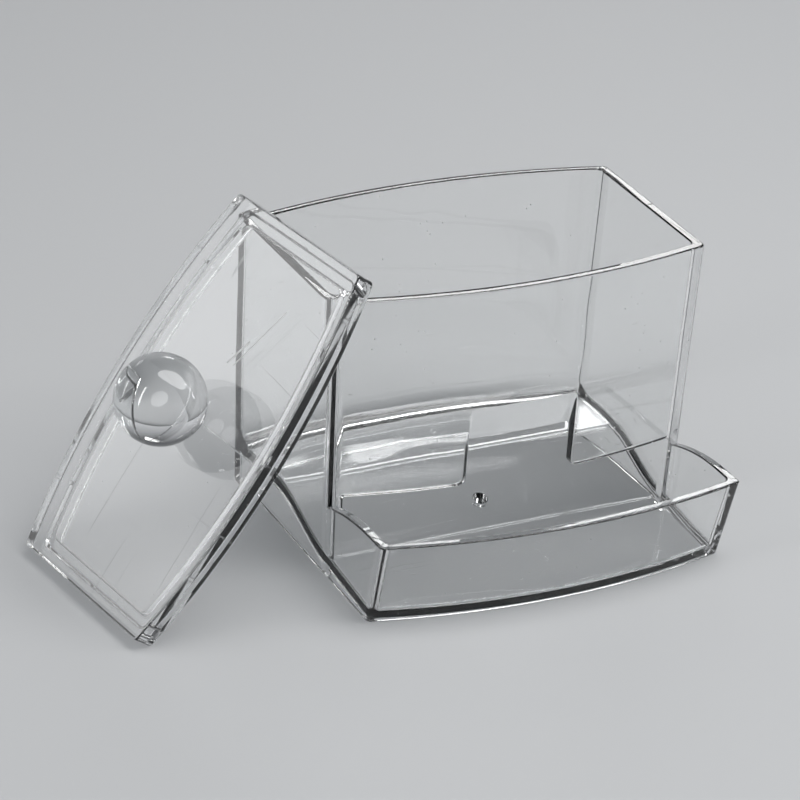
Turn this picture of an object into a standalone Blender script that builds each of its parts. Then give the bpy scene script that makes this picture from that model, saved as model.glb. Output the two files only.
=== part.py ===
"""Cotton swab holder: a clear moulded box with a dispensing tray and a loose lid with a ball knob.

The swabs lie across the box. A sloping floor rolls them forward, under the front wall and into the
tray. The lid is shown taken off, leaning on the left end of the box. Units are metres, +Z is up and
the tray faces -Y.
"""
import math

import bmesh
import bpy
from mathutils import Matrix, Vector

MM = 0.001

# Box walls, measured outside at the rim
RIM_HALF_WIDTH = 46.5 * MM
RIM_HALF_DEPTH = 23.2 * MM
WALL_BOW = 6.0 * MM
BOX_HEIGHT = 68.1 * MM
WALL = 2.3 * MM
SIDE_DRAFT = math.radians(1.5)
FACE_DRAFT = math.radians(0.5)
OUTER_CORNER = 1.2 * MM
INNER_CORNER = 2.0 * MM
EDGE_EASE = 0.4 * MM

# Tray in front of the box
TRAY_TOP_REACH = 26.9 * MM
TRAY_FOOT_REACH = 21.3 * MM
TRAY_HEIGHT = 21.5 * MM
TRAY_SHOULDER = 17.4 * MM
TRAY_SIDE_STEP = 0.15 * MM

# Floor, from the level rear part down the ramp to the tray
FLOOR_THICKNESS = 2.0 * MM
FLOOR_REAR_HEIGHT = 10.5 * MM
FLOOR_OUTLET_HEIGHT = 4.3 * MM
FLOOR_FRONT_HEIGHT = 2.6 * MM
RAMP_TOP_BACK = 4.0 * MM
REAR_FILLET = 5.5 * MM
SIDE_FILLET = 1.2 * MM
UNDER_FILLET = 0.6 * MM

# Outlet under the front wall, and the finger notch above its middle
OUTLET_HEIGHT = 19.8 * MM
OUTLET_CORNER = 0.8 * MM
CORNER_POST = 1.2 * MM
NOTCH_HALF_WIDTH = 13.3 * MM
NOTCH_HEIGHT = 10.7 * MM
NOTCH_BEVEL = math.radians(75.0)
NOTCH_LOWER_CORNER = 1.8 * MM
NOTCH_UPPER_CORNER = 1.2 * MM

# Witness of the moulding gate under the floor
GATE_RADIUS = 1.9 * MM
GATE_LENGTH = 1.6 * MM
GATE_FORWARD = 11.7 * MM
GATE_TAPER = 0.8

# Lid: a solid slab, with a skirt that drops into the mouth of the box
LID_THICKNESS = 5.0 * MM
LID_FACE_OVERHANG = 0.5 * MM
LID_END_SETBACK = 0.5 * MM
SKIRT_HEIGHT = 3.0 * MM
SKIRT_WALL = 2.4 * MM
SKIRT_CLEARANCE = 0.5 * MM
SKIRT_FILLET = 0.4 * MM
RIB_WIDTH = 0.9 * MM
RIB_STAND = 0.4 * MM
RIB_EASE = 0.12 * MM
RIB_LEAD_IN = 0.6 * MM
RIB_ROOT = 0.8 * MM
RIB_FRACTIONS = (-2 / 3, 0.0, 2 / 3)

# Ball knob, with a short foot and a spigot that sits in the middle of the lid
BALL_RADIUS = 10.3 * MM
BALL_CENTRE_HEIGHT = 8.5 * MM
KNOB_FOOT_RADIUS = 6.35 * MM
KNOB_FOOT_EASE = 0.15 * MM
SPIGOT_RADIUS = 2.5 * MM
SPIGOT_LENGTH = 3.6 * MM
SPIGOT_CLEARANCE = 0.3 * MM

# How the lid leans on the box
LID_LEAN = math.radians(54.8)
LID_YAW = math.radians(8.5)
LID_OFF_CORNER = 15.4 * MM
SEAT_GAP = 0.3 * MM

# Fineness of the curved faces
BOW_STEPS = 30
CORNER_STEPS = 4
EASE_STEPS = 2
RAMP_STEPS = 12
FILLET_STEPS = 6
TRAY_SIDE_STEPS = 8
TURN_STEPS = 60
BALL_STEPS = 25

# Working allowances: how far cutters pass a face, and how deep joined pieces sit in a wall
OVERCUT = 3.0 * MM
SKIN = 0.05 * MM
SEAT_SHARE = 0.48
SEAT = WALL * SEAT_SHARE

BOW_RADIUS = (RIM_HALF_WIDTH ** 2 + WALL_BOW ** 2) / (2 * WALL_BOW)
SHARP_ANGLE = math.radians(32.0)


def clear_scene():
    for item in list(bpy.data.objects):
        bpy.data.objects.remove(item, do_unlink=True)


def make_collection(name):
    collection = bpy.data.collections.new(name)
    bpy.context.scene.collection.children.link(collection)
    return collection


def clear_plastic(name, colour, roughness):
    material = bpy.data.materials.new(name)
    material.use_nodes = True
    shader = material.node_tree.nodes["Principled BSDF"]
    shader.inputs["Base Color"].default_value = (*colour, 1.0)
    shader.inputs["Roughness"].default_value = roughness
    shader.inputs["Metallic"].default_value = 0.0
    shader.inputs["IOR"].default_value = 1.59
    shader.inputs["Transmission Weight"].default_value = 1.0
    return material


def add_object(name, mesh, collection, parent=None):
    item = bpy.data.objects.new(name, mesh)
    collection.objects.link(item)
    item.parent = parent
    return item


def as_cutter(item):
    item.hide_render = True
    item.display_type = 'WIRE'
    return item


def combine(item, operation, other):
    modifier = item.modifiers.new(operation.lower() + "_" + other.name, 'BOOLEAN')
    modifier.operation = operation
    modifier.solver = 'EXACT'
    modifier.object = other


def loft(name, rings, collection, parent=None, closed=False):
    """Skin through rings of equal length; closed joins the last ring to the first, like a tyre."""
    shape = bmesh.new()
    rows = [[shape.verts.new(point) for point in ring] for ring in rings]
    pairs = list(zip(rows, rows[1:]))
    if closed:
        pairs.append((rows[-1], rows[0]))
    for lower, upper in pairs:
        for i in range(len(lower)):
            j = (i + 1) % len(lower)
            shape.faces.new((lower[i], lower[j], upper[j], upper[i]))
    if not closed:
        shape.faces.new(list(reversed(rows[0])))
        shape.faces.new(rows[-1])
    bmesh.ops.recalc_face_normals(shape, faces=shape.faces)
    mesh = bpy.data.meshes.new(name)
    shape.to_mesh(mesh)
    shape.free()
    return add_object(name, mesh, collection, parent)


def cone(name, centre, radius_low, radius_high, depth, segments, collection, parent):
    shape = bmesh.new()
    bmesh.ops.create_cone(shape, cap_ends=True, segments=segments, radius1=radius_low,
                          radius2=radius_high, depth=depth, matrix=Matrix.Translation(centre))
    mesh = bpy.data.meshes.new(name)
    shape.to_mesh(mesh)
    shape.free()
    return as_cutter(add_object(name, mesh, collection, parent))


def round_corner(before, corner, after, radius):
    """The arc that takes the place of one sharp corner of an outline."""
    to_before = (before - corner).normalized()
    to_after = (after - corner).normalized()
    half_angle = to_before.angle(to_after) / 2
    centre = corner + (to_before + to_after).normalized() * radius / math.sin(half_angle)
    start = corner + to_before * radius / math.tan(half_angle) - centre
    end = corner + to_after * radius / math.tan(half_angle) - centre
    sweep = start.angle(end)
    arc = []
    for step in range(CORNER_STEPS + 1):
        share = step / CORNER_STEPS
        blend = start * math.sin((1 - share) * sweep) + end * math.sin(share * sweep)
        arc.append(centre + blend / math.sin(sweep))
    return arc


def eased(radius, steps=EASE_STEPS):
    """(in from the edge, in from the face) for the steps of a quarter round, from face to edge."""
    angles = [math.pi / 2 * i / steps for i in range(steps + 1)]
    return [(radius * (1 - math.sin(a)), radius * (1 - math.cos(a))) for a in angles]


def bow_y(x, reach, inset):
    """How far a bowed wall stands from the middle at x; inset walls share the same centre."""
    radius = BOW_RADIUS - inset
    return reach - BOW_RADIUS + math.sqrt(radius ** 2 - x ** 2)


def bowed_edge(half, reach, inset, corner):
    """Points along a bowed side: its two end corners, and steps between that leave room for arcs."""
    inner = half - corner
    xs = [-half] + [inner * (2 * i / BOW_STEPS - 1) for i in range(BOW_STEPS + 1)] + [half]
    return [Vector((x, -bow_y(x, reach, inset))) for x in xs]


def bowed_plan(half_width, reach, inset, corner):
    """Straight ends and bowed long sides, as points around the outline."""
    front = bowed_edge(half_width - inset, reach, inset, corner)
    edge = front + [-point for point in front]
    last = len(front) - 1
    plan = []
    for i, point in enumerate(edge):
        if i % len(front) in (0, last):
            plan += round_corner(edge[i - 1], point, edge[(i + 1) % len(edge)], corner)
        else:
            plan.append(point)
    return plan


def corner_at(inset):
    """Corner radius of a ring, from the outer face's to the inner face's."""
    return OUTER_CORNER + (INNER_CORNER - OUTER_CORNER) * inset / WALL


def wall_profile(thickness, height):
    """(z, inset) around a wall's section: up the outside, over the rim, down inside, under the foot."""
    steps = eased(EDGE_EASE)
    outer_foot = [(edge, face) for edge, face in reversed(steps)]
    outer_rim = [(height - edge, face) for edge, face in steps]
    inner_rim = [(height - edge, thickness - face) for edge, face in reversed(steps)]
    inner_foot = [(edge, thickness - face) for edge, face in steps]
    return outer_foot + outer_rim + inner_rim + inner_foot


def box_half_width(z):
    return RIM_HALF_WIDTH - (BOX_HEIGHT - z) * math.tan(SIDE_DRAFT)


def box_reach(z):
    """From the middle of the box to the crown of its front or back face."""
    return RIM_HALF_DEPTH + WALL_BOW - (BOX_HEIGHT - z) * math.tan(FACE_DRAFT)


def tray_reach(z):
    """From the middle of the box to the crown of the tray's leaning front face."""
    slope = (TRAY_TOP_REACH - TRAY_FOOT_REACH) / TRAY_HEIGHT
    return RIM_HALF_DEPTH + WALL_BOW + TRAY_FOOT_REACH + slope * z


def box_ring(z, inset):
    plan = bowed_plan(box_half_width(z), box_reach(z), inset, corner_at(inset))
    return [Vector((p.x, p.y, z)) for p in plan]


def opening_outline(depth, grow):
    """(x, z) around the outlet and the notch at one depth in the wall, grown by the edge's round."""
    foot = -OVERCUT
    sill = OUTLET_HEIGHT + grow
    roof = OUTLET_HEIGHT + NOTCH_HEIGHT + (WALL - depth) * math.tan(NOTCH_BEVEL)
    half = NOTCH_HALF_WIDTH + grow
    side = box_half_width(sill) - WALL - CORNER_POST
    side_foot = box_half_width(foot) - WALL - CORNER_POST
    a, b = Vector((side_foot, foot)), Vector((side, sill))
    c, d = Vector((half, sill)), Vector((half, roof))
    e = Vector((0.0, roof))
    right = [a] + round_corner(a, b, c, OUTLET_CORNER)
    start = right[-1].x
    end = half + NOTCH_LOWER_CORNER - grow
    straight = BOW_STEPS // 3
    right += [Vector((start + (end - start) * i / straight, sill)) for i in range(1, straight)]
    right += round_corner(b, c, d, NOTCH_LOWER_CORNER - grow)
    right += round_corner(c, d, e, NOTCH_UPPER_CORNER + grow)
    start = right[-1].x
    roof_steps = BOW_STEPS // 8
    right += [Vector((start * (1 - i / roof_steps), roof)) for i in range(1, roof_steps + 1)]
    return right + [Vector((-p.x, p.y)) for p in reversed(right[:-1])]


def opening_layers():
    """(depth from the outer face, growth of the outline), from in front of the wall to behind it."""
    steps = eased(EDGE_EASE)[:-1]
    last_depth, last_grow = steps[-1]
    beyond = last_grow + (last_depth + SKIN) * (EDGE_EASE - last_grow) / last_depth
    outer = [(-SKIN, beyond)] + list(reversed(steps))
    return outer + [(WALL - depth, grow) for depth, grow in reversed(outer)]


def make_opening(collection, parent):
    """Outlet under the front wall and finger notch above it, cut with rounded edges.

    The roof of the notch climbs steeply from the inner face to the outer one.
    """
    layers = opening_layers()
    rings = []
    for depth, grow in layers:
        outline = opening_outline(depth, grow)
        rings.append([Vector((p.x, -bow_y(p.x, box_reach(p.y), depth), p.y)) for p in outline])
    front_y = -box_reach(BOX_HEIGHT) - OVERCUT
    back_y = -RIM_HALF_DEPTH / 2
    first = [Vector((p.x, front_y, p.z)) for p in rings[0]]
    last = [Vector((p.x, back_y, p.z)) for p in rings[-1]]
    return as_cutter(loft("outlet_and_notch", [first, *rings, last], collection, parent))


def tray_path(z, inset):
    """Points (x, y) from the left side wall round the front to the right side wall."""
    half = box_half_width(z) - TRAY_SIDE_STEP - inset
    corner = corner_at(inset)
    front = bowed_edge(half, tray_reach(z), inset, corner)
    back_y = -(box_reach(0.0) - WALL_BOW) + WALL / 2
    run = front[0].y + corner - back_y
    ys = [back_y + run * i / TRAY_SIDE_STEPS for i in range(TRAY_SIDE_STEPS + 1)]
    left = [Vector((-half, y)) for y in ys]
    right = [Vector((half, y)) for y in reversed(ys)]
    path = left + round_corner(left[-1], front[0], front[1], corner)
    return path + front[1:-1] + round_corner(front[-2], front[-1], right[0], corner) + right


def tray_top(y):
    """Height of the tray's top edge: arched along the sides, level along the front."""
    front = -tray_reach(TRAY_HEIGHT) + WALL_BOW
    shoulder = -box_reach(TRAY_SHOULDER) + WALL_BOW
    peak = front + (shoulder - front) / 6
    if y < peak:
        return TRAY_HEIGHT
    return TRAY_HEIGHT - (TRAY_HEIGHT - TRAY_SHOULDER) * ((y - peak) / (shoulder - peak)) ** 2


def make_tray_wall(collection, parent):
    """The wall round three sides of the tray: one closed section at each station of its path."""
    stations = []
    for number, along in enumerate(tray_path(TRAY_HEIGHT, 0.0)):
        station = []
        for z, inset in wall_profile(WALL, tray_top(along.y)):
            point = tray_path(z, inset)[number]
            station.append(Vector((point.x, point.y, z)))
        stations.append(station)
    return as_cutter(loft("tray_wall", stations, collection, parent))


def floor_height(y):
    """Height of the floor's top face: level at the rear, an eased ramp, then the tray's fall."""
    outlet_y = -box_reach(FLOOR_OUTLET_HEIGHT) + WALL_BOW
    front_y = outlet_y - TRAY_FOOT_REACH
    if y >= RAMP_TOP_BACK:
        return FLOOR_REAR_HEIGHT
    if y <= outlet_y:
        share = (outlet_y - y) / (outlet_y - front_y)
        return FLOOR_OUTLET_HEIGHT + (FLOOR_FRONT_HEIGHT - FLOOR_OUTLET_HEIGHT) * share
    share = (y - outlet_y) / (RAMP_TOP_BACK - outlet_y)
    ease = share * share * (3 - 2 * share)
    return FLOOR_OUTLET_HEIGHT + (FLOOR_REAR_HEIGHT - FLOOR_OUTLET_HEIGHT) * ease


def inner_half(z):
    return box_half_width(z) - TRAY_SIDE_STEP - WALL


def floor_section(x_at, raised):
    """One closed section of the floor; raised is how far the side scoop lifts it there."""
    near = abs(x_at(FLOOR_REAR_HEIGHT))
    wall_y = bow_y(near, box_reach(FLOOR_REAR_HEIGHT + REAR_FILLET), WALL)
    tray_y = -bow_y(near, tray_reach(FLOOR_FRONT_HEIGHT), WALL)
    outlet_y = -box_reach(FLOOR_OUTLET_HEIGHT) + WALL_BOW
    rear_under = FLOOR_REAR_HEIGHT - FLOOR_THICKNESS
    ramp = [RAMP_TOP_BACK + (outlet_y - RAMP_TOP_BACK) * i / RAMP_STEPS for i in range(RAMP_STEPS + 1)]
    top = [(wall_y + SEAT, FLOOR_REAR_HEIGHT + REAR_FILLET)]
    for edge, face in reversed(eased(REAR_FILLET, FILLET_STEPS)):
        top.append((wall_y - edge, FLOOR_REAR_HEIGHT + face))
    top += [(y, floor_height(y)) for y in ramp]
    for edge, face in eased(SIDE_FILLET, FILLET_STEPS // 2):
        top.append((tray_y + edge, floor_height(tray_y) + face))
    top.append((tray_y - SEAT, floor_height(tray_y) + SIDE_FILLET))
    under = [(wall_y + SEAT, rear_under - UNDER_FILLET)]
    for edge, face in reversed(eased(UNDER_FILLET)):
        under.append((wall_y - edge, rear_under - face))
    under += [(y, floor_height(y) - FLOOR_THICKNESS) for y in ramp]
    under.append((tray_y - SEAT, floor_height(tray_y) - FLOOR_THICKNESS))
    lowered = min(raised, UNDER_FILLET)
    section = [Vector((x_at(z), y, z + raised)) for y, z in top]
    return section + [Vector((x_at(z), y, z - lowered)) for y, z in reversed(under)]


def side_section(sign, inward, raised):
    return floor_section(lambda z: sign * (inner_half(z) - inward), raised)


def make_floor(collection, parent):
    """The curved floor sheet, scooped where it meets the walls and seated in them."""
    scoop = eased(SIDE_FILLET, FILLET_STEPS // 2)
    clear_half = inner_half(0.0) - SIDE_FILLET
    sections = [side_section(-1, -SEAT, SIDE_FILLET)]
    sections += [side_section(-1, edge, face) for edge, face in reversed(scoop)]
    for i in range(1, BOW_STEPS):
        x = clear_half * (2 * i / BOW_STEPS - 1)
        sections.append(floor_section(lambda z, x=x: x, 0.0))
    sections += [side_section(1, edge, face) for edge, face in scoop]
    sections.append(side_section(1, -SEAT, SIDE_FILLET))
    return as_cutter(loft("floor_sheet", sections, collection, parent))


def make_gate(collection, parent):
    """Short round stub under the floor, where the plastic entered the mould."""
    under = floor_height(-GATE_FORWARD) - FLOOR_THICKNESS
    depth = GATE_LENGTH + FLOOR_THICKNESS / 2
    centre = (0.0, -GATE_FORWARD, under - GATE_LENGTH + depth / 2)
    return cone("gate_stub", centre, GATE_RADIUS * GATE_TAPER, GATE_RADIUS, depth, TURN_STEPS // 4,
                collection, parent)


def finish_shading(item, material):
    item.data.shade_smooth()
    item.data.set_sharp_from_angle(angle=SHARP_ANGLE)
    item.data.materials.append(material)


def make_box(parts, cutters, parent, material):
    """Four walls as one closed tube of rings; then the opening, the tray, the floor and the gate."""
    rings = [box_ring(z, inset) for z, inset in wall_profile(WALL, BOX_HEIGHT)]
    box = loft("box_with_tray", rings, parts, parent, closed=True)
    combine(box, 'DIFFERENCE', make_opening(cutters, parent))
    combine(box, 'UNION', make_tray_wall(cutters, parent))
    combine(box, 'UNION', make_floor(cutters, parent))
    combine(box, 'UNION', make_gate(cutters, parent))
    finish_shading(box, material)
    return box


def lid_reach():
    return RIM_HALF_DEPTH + WALL_BOW + LID_FACE_OVERHANG


def lid_half_width():
    return RIM_HALF_WIDTH - LID_END_SETBACK


def lid_ring(z, inset):
    plan = bowed_plan(lid_half_width(), lid_reach(), inset, corner_at(min(inset, WALL)))
    return [Vector((p.x, p.y, z)) for p in plan]


def skirt_ring(z, inset):
    plan = bowed_plan(RIM_HALF_WIDTH, box_reach(BOX_HEIGHT), inset, corner_at(min(inset, WALL)))
    return [Vector((p.x, p.y, z)) for p in plan]


def slab_walk():
    """(z, inset from the lid's edge) from the slab's top round its edge to its underside."""
    ease = eased(EDGE_EASE)
    walk = [(LID_THICKNESS - edge, face) for edge, face in reversed(ease)]
    return walk + [(edge, face) for edge, face in ease]


def skirt_walk(outside):
    """(z, inset from the box's rim) down the skirt's outside and up its inside, filled above."""
    ease = eased(EDGE_EASE)
    fillet = eased(SKIRT_FILLET)
    inside = outside + SKIRT_WALL
    walk = [(-face, outside - edge) for edge, face in fillet]
    walk += [(edge - SKIRT_HEIGHT, outside + face) for edge, face in ease]
    walk += [(edge - SKIRT_HEIGHT, inside - face) for edge, face in reversed(ease)]
    return walk + [(-face, inside + edge) for edge, face in reversed(fillet)]


def rib_places(inset):
    """(point, outward direction): three ribs on each bowed side and one at the middle of each end."""
    half = RIM_HALF_WIDTH - inset
    centre = Vector((0.0, box_reach(BOX_HEIGHT) - BOW_RADIUS))
    places = []
    for share in RIB_FRACTIONS:
        x = half * share
        point = Vector((x, bow_y(x, box_reach(BOX_HEIGHT), inset)))
        outward = (point - centre).normalized()
        places += [(point, outward), (-point, -outward)]
    return places + [(Vector((sign * half, 0.0)), Vector((sign, 0.0))) for sign in (1.0, -1.0)]


def make_rib(number, point, outward, collection, parent):
    """A fine upright rib on the skirt, led in at its foot, which wedges in the mouth of the box."""
    side = Vector((-outward.y, outward.x))
    low = EDGE_EASE - SKIRT_HEIGHT
    rings = []
    for z, stand in ((RIB_ROOT, RIB_STAND), (low + RIB_LEAD_IN, RIB_STAND), (low, RIB_EASE)):
        half = RIB_WIDTH / 2
        ease = RIB_EASE * stand / RIB_STAND
        outline = [(-half, -RIB_ROOT), (half, -RIB_ROOT), (half, stand - ease), (half - ease, stand),
                   (ease - half, stand), (-half, stand - ease)]
        places = [point + side * along + outward * out for along, out in outline]
        rings.append([Vector((p.x, p.y, z)) for p in places])
    return as_cutter(loft("grip_rib_%d" % number, rings, collection, parent))


def make_lid(parts, cutters, parent, material):
    """The slab and its skirt as one walk of rings, with grip ribs and a blind hole for the knob."""
    skirt_outside = WALL + SKIRT_CLEARANCE
    rings = [lid_ring(z, inset) for z, inset in slab_walk()]
    rings += [skirt_ring(z, inset) for z, inset in skirt_walk(skirt_outside)]
    lid = loft("lid_plate", rings, parts, parent)
    for number, (point, outward) in enumerate(rib_places(skirt_outside)):
        combine(lid, 'UNION', make_rib(number, point, outward, cutters, parent))
    depth = SPIGOT_LENGTH + OVERCUT
    radius = SPIGOT_RADIUS + SPIGOT_CLEARANCE
    hole = cone("spigot_hole", (0.0, 0.0, LID_THICKNESS - SPIGOT_LENGTH + depth / 2), radius, radius,
                depth, TURN_STEPS, cutters, parent)
    combine(lid, 'DIFFERENCE', hole)
    finish_shading(lid, material)
    return lid


def knob_profile():
    """Half outline (radius, height above the lid) of the ball, its short foot and its spigot."""
    centre = BALL_CENTRE_HEIGHT
    join_angle = math.pi - math.asin(KNOB_FOOT_RADIUS / BALL_RADIUS)
    points = [(0.0, centre + BALL_RADIUS)]
    for i in range(1, BALL_STEPS + 1):
        angle = join_angle * i / BALL_STEPS
        points.append((BALL_RADIUS * math.sin(angle), centre + BALL_RADIUS * math.cos(angle)))
    points.append((KNOB_FOOT_RADIUS, KNOB_FOOT_EASE))
    points.append((KNOB_FOOT_RADIUS - KNOB_FOOT_EASE, 0.0))
    points.append((SPIGOT_RADIUS, 0.0))
    points.append((SPIGOT_RADIUS, KNOB_FOOT_EASE - SPIGOT_LENGTH))
    points.append((SPIGOT_RADIUS - KNOB_FOOT_EASE, -SPIGOT_LENGTH))
    points.append((0.0, -SPIGOT_LENGTH))
    return points


def make_knob(parts, parent, material):
    """The knob is turned: half its outline spun about its axis."""
    mesh = bpy.data.meshes.new("ball_knob")
    points = knob_profile()
    edges = [(i, i + 1) for i in range(len(points) - 1)]
    mesh.from_pydata([(r, 0.0, z) for r, z in points], edges, [])
    knob = add_object("ball_knob", mesh, parts, parent)
    knob.location.z = LID_THICKNESS + SEAT_GAP
    turn = knob.modifiers.new("turned", 'SCREW')
    turn.axis = 'Z'
    turn.steps = TURN_STEPS
    turn.render_steps = TURN_STEPS
    turn.use_merge_vertices = True
    turn.merge_threshold = 0.00001
    turn.use_smooth_shade = True
    knob.data.materials.append(material)
    return knob


def lean_matrix():
    """The lid's frame as it leans: long way up the slope, knob side up and to the left."""
    along = Vector((math.cos(LID_LEAN) * math.cos(LID_YAW), math.cos(LID_LEAN) * math.sin(LID_YAW),
                    math.sin(LID_LEAN)))
    across = Vector((-math.sin(LID_YAW), math.cos(LID_YAW), 0.0))
    out = along.cross(across)
    turn = Matrix((along, across, out)).transposed()
    rim = [point for z, inset in wall_profile(WALL, BOX_HEIGHT) for point in box_ring(z, inset)]
    touch = max(rim, key=lambda point: point.dot(out))
    slab = [point for z, inset in slab_walk() for point in lid_ring(z, inset)]
    height = -min((turn @ point).z for point in slab)
    level = Vector((math.cos(LID_YAW), math.sin(LID_YAW), 0.0))
    plane = touch.dot(out) + SEAT_GAP
    forward = (math.cos(LID_LEAN) * height - plane) / math.sin(LID_LEAN)
    side = touch.dot(across) + LID_OFF_CORNER
    place = level * forward + across * side + Vector((0.0, 0.0, height))
    return Matrix.Translation(place) @ turn.to_4x4()


def add_empty(name, collection, parent=None):
    return add_object(name, None, collection, parent)


def build():
    clear_scene()
    parts = make_collection("cotton_swab_holder")
    cutters = make_collection("cutters")
    holder = add_empty("foot_of_back_wall", cutters)
    holder.location.y = -(box_reach(0.0) - WALL / 2)
    lid_frame = add_empty("leaning_lid_frame", cutters, holder)
    lid_frame.matrix_local = lean_matrix()
    box_plastic = clear_plastic("clear_box_plastic", (0.97, 0.98, 0.98), 0.02)
    lid_plastic = clear_plastic("clear_lid_plastic", (0.97, 0.98, 0.98), 0.02)
    knob_plastic = clear_plastic("clear_knob_plastic", (0.98, 0.98, 0.98), 0.01)
    make_box(parts, cutters, holder, box_plastic)
    make_lid(parts, cutters, lid_frame, lid_plastic)
    make_knob(parts, lid_frame, knob_plastic)


build()
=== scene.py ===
# %% [markdown]
# A clear cotton swab holder: a bow-fronted box with a dispensing tray, and its loose lid with a ball
# knob, leaning on the box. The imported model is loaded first, as the fixed frame: it says where each
# piece is and which piece moves. This script then builds the same pieces again with many more faces,
# because clear plastic bends light at every face, and a coarse curve shows its facets at once.

import math

import bmesh
import bpy
from mathutils import Matrix, Vector


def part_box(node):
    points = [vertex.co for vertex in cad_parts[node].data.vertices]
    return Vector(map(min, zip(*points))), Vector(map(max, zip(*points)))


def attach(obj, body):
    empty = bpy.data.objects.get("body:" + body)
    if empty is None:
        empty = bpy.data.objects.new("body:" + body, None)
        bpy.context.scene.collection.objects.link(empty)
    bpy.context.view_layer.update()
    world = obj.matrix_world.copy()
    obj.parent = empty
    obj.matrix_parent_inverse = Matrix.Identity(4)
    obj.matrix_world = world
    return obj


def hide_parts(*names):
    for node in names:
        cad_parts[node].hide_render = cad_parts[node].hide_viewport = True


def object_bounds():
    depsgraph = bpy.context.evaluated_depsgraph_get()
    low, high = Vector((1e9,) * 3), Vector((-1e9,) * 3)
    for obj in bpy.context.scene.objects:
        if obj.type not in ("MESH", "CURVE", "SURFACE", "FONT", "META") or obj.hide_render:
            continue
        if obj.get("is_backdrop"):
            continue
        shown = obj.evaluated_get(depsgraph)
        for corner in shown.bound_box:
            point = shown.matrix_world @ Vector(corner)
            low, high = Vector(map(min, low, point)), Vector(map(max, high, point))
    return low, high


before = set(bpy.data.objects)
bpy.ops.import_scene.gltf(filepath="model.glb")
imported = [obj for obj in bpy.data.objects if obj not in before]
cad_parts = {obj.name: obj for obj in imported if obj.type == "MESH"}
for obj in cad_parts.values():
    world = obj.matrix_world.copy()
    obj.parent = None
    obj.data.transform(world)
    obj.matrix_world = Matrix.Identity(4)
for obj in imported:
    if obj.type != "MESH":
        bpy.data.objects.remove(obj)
cad_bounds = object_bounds()

# %% [markdown]
# The sizes of the box. A moulded box is drawn from a few numbers: how wide and deep its rim is, how far
# its long walls bow outward, how thick the walls are, and the draft, which is the slight taper that
# lets the moulding slide off its core. The long walls are arcs of one radius, which follows from the
# width and the bow. Every later step brings the sizes that it adds, and they build on these.

# %% Sizes of the box
MM = 0.001
RIM_HALF_WIDTH = 46.5 * MM
RIM_HALF_DEPTH = 23.2 * MM
WALL_BOW = 6.0 * MM
BOX_HEIGHT = 68.1 * MM
WALL = 2.3 * MM
SIDE_DRAFT = math.radians(1.5)
FACE_DRAFT = math.radians(0.5)
BOW_RADIUS = (RIM_HALF_WIDTH ** 2 + WALL_BOW ** 2) / (2 * WALL_BOW)
print("bow radius %.1f mm" % (BOW_RADIUS / MM))

# %% [markdown]
# Most pieces here are lofts: a skin through rings of points, like planks over the ribs of a hull. A flat
# sheet could be thickened by a modifier instead, but the inside of a moulding has corners and a taper
# of its own. With rings, each point goes exactly where it belongs, and a ring holds as many as a curve
# needs. The same steps that draw the rings in the plain model draw them here, only finer.


# %% Loft
def loft(name, rings, closed=False):
    """Skin through rings of equal length; closed joins the last ring to the first, like a tyre."""
    shape = bmesh.new()
    rows = [[shape.verts.new(point) for point in ring] for ring in rings]
    pairs = list(zip(rows, rows[1:])) + ([(rows[-1], rows[0])] if closed else [])
    for lower, upper in pairs:
        for i in range(len(lower)):
            j = (i + 1) % len(lower)
            shape.faces.new((lower[i], lower[j], upper[j], upper[i]))
    if not closed:
        shape.faces.new(list(reversed(rows[0])))
        shape.faces.new(rows[-1])
    bmesh.ops.recalc_face_normals(shape, faces=shape.faces)
    mesh = bpy.data.meshes.new(name)
    shape.to_mesh(mesh)
    shape.free()
    item = bpy.data.objects.new(name, mesh)
    bpy.context.scene.collection.objects.link(item)
    return item


print("mesh helper: loft")

# %% [markdown]
# No moulded corner or edge is quite sharp, and on clear plastic it is the tiny round along an edge that
# catches the light and draws the bright line. A bevel modifier would do it on a simple block. Here the
# rounds are part of the outlines, so they stay even where walls lean and bow. One helper swaps a corner
# of an outline for a short arc, and the other gives the steps of a quarter round over an edge.

# %% Rounds for corners and edges
OUTER_CORNER = 1.2 * MM
INNER_CORNER = 2.0 * MM
CORNER_STEPS = 8
EDGE_EASE = 0.4 * MM
EASE_STEPS = 4


def round_corner(before, corner, after, radius, steps):
    """The arc that takes the place of one sharp corner of an outline."""
    to_before = (before - corner).normalized()
    to_after = (after - corner).normalized()
    half_angle = to_before.angle(to_after) / 2
    centre = corner + (to_before + to_after).normalized() * radius / math.sin(half_angle)
    start = corner + to_before * radius / math.tan(half_angle) - centre
    end = corner + to_after * radius / math.tan(half_angle) - centre
    sweep = start.angle(end)
    arc = []
    for step in range(steps + 1):
        share = step / steps
        blend = start * math.sin((1 - share) * sweep) + end * math.sin(share * sweep)
        arc.append(centre + blend / math.sin(sweep))
    return arc


def eased(radius, steps=EASE_STEPS):
    """(in from the edge, in from the face) for the steps of a quarter round, from face to edge."""
    angles = [math.pi / 2 * i / steps for i in range(steps + 1)]
    return [(radius * (1 - math.sin(a)), radius * (1 - math.cos(a))) for a in angles]


def corner_at(inset):
    """Radius of a wall's corner, from its outer face to its inner one."""
    return OUTER_CORNER + (INNER_CORNER - OUTER_CORNER) * inset / WALL


print("a corner takes", CORNER_STEPS + 1, "points and an edge", len(eased(EDGE_EASE)))

# %% [markdown]
# Seen from above, the box has straight short ends and long sides that bow outward, and it widens a
# little towards the rim. Its plan is drawn for any height and for any depth into the wall, because the
# rings of the walls, the tray and the lid all come from it. The model stands so that the foot of the
# rear wall is at the origin, where the plain model has it.

# %% Plan of the box
BOW_STEPS = 96


def box_half_width(z):
    return RIM_HALF_WIDTH - (BOX_HEIGHT - z) * math.tan(SIDE_DRAFT)


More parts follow.
